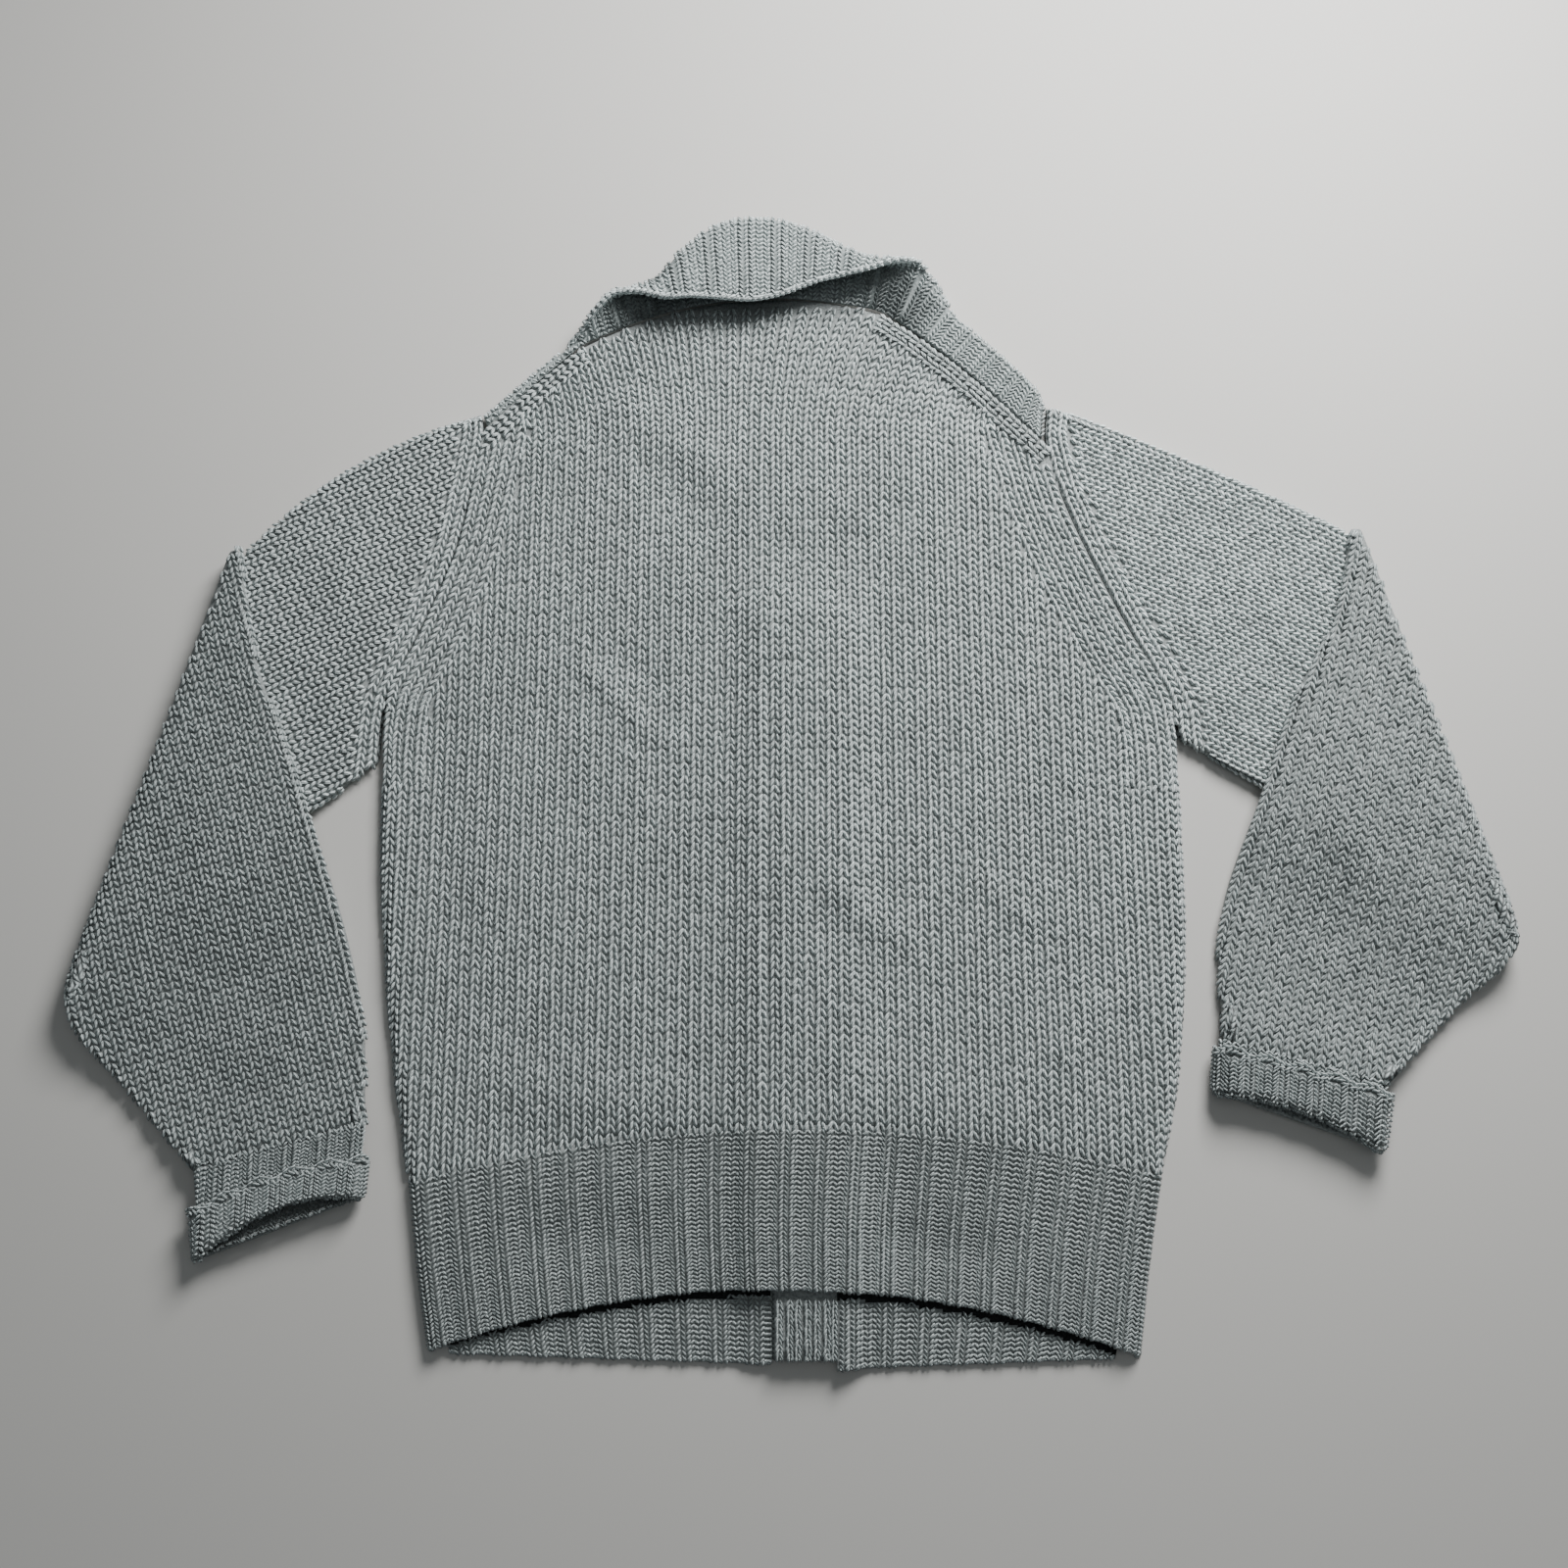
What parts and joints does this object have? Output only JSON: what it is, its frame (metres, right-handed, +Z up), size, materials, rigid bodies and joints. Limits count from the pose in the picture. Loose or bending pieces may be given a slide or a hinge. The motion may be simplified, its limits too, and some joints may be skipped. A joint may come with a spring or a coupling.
{
  "type": "shawl collar cardigan",
  "caption": "Grey chunky knit shawl collar cardigan with raglan sleeves, ribbed hem and turned-back cuffs, laid face down with its sleeves folded in.",
  "frame": {"origin": "on the resting surface, under the middle of the garment's bounding box", "axes": "+Z up from the surface, out of the garment's back; +Y along the body towards the collar; +X towards the wearer's right sleeve"},
  "size_m": [0.9046, 0.7372, 0.0366],
  "materials": {
    "wool_knit": "heavy stockinette in a plied grey marl wool, matt with a short fuzz",
    "wool_rib": "two by two rib in the same grey marl wool, matt",
    "button": "plain dark four-hole button, satin"
  },
  "bodies": {
    "root": {"back": "wool_knit", "back_hem": "wool_rib", "front_left": "wool_knit", "front_right": "wool_knit", "front_hem_left": "wool_rib", "front_hem_right": "wool_rib", "buttonhole_band": "wool_rib", "button_band": "wool_rib", "collar": "wool_rib", "collar_front_left": "wool_rib", "collar_front_right": "wool_rib", "sleeve_left": "wool_knit", "sleeve_right": "wool_knit", "cuff_left": "wool_rib", "cuff_right": "wool_rib", "button_1": "button", "button_2": "button", "button_3": "button", "button_4": "button", "button_5": "button"}
  },
  "joints": []
}
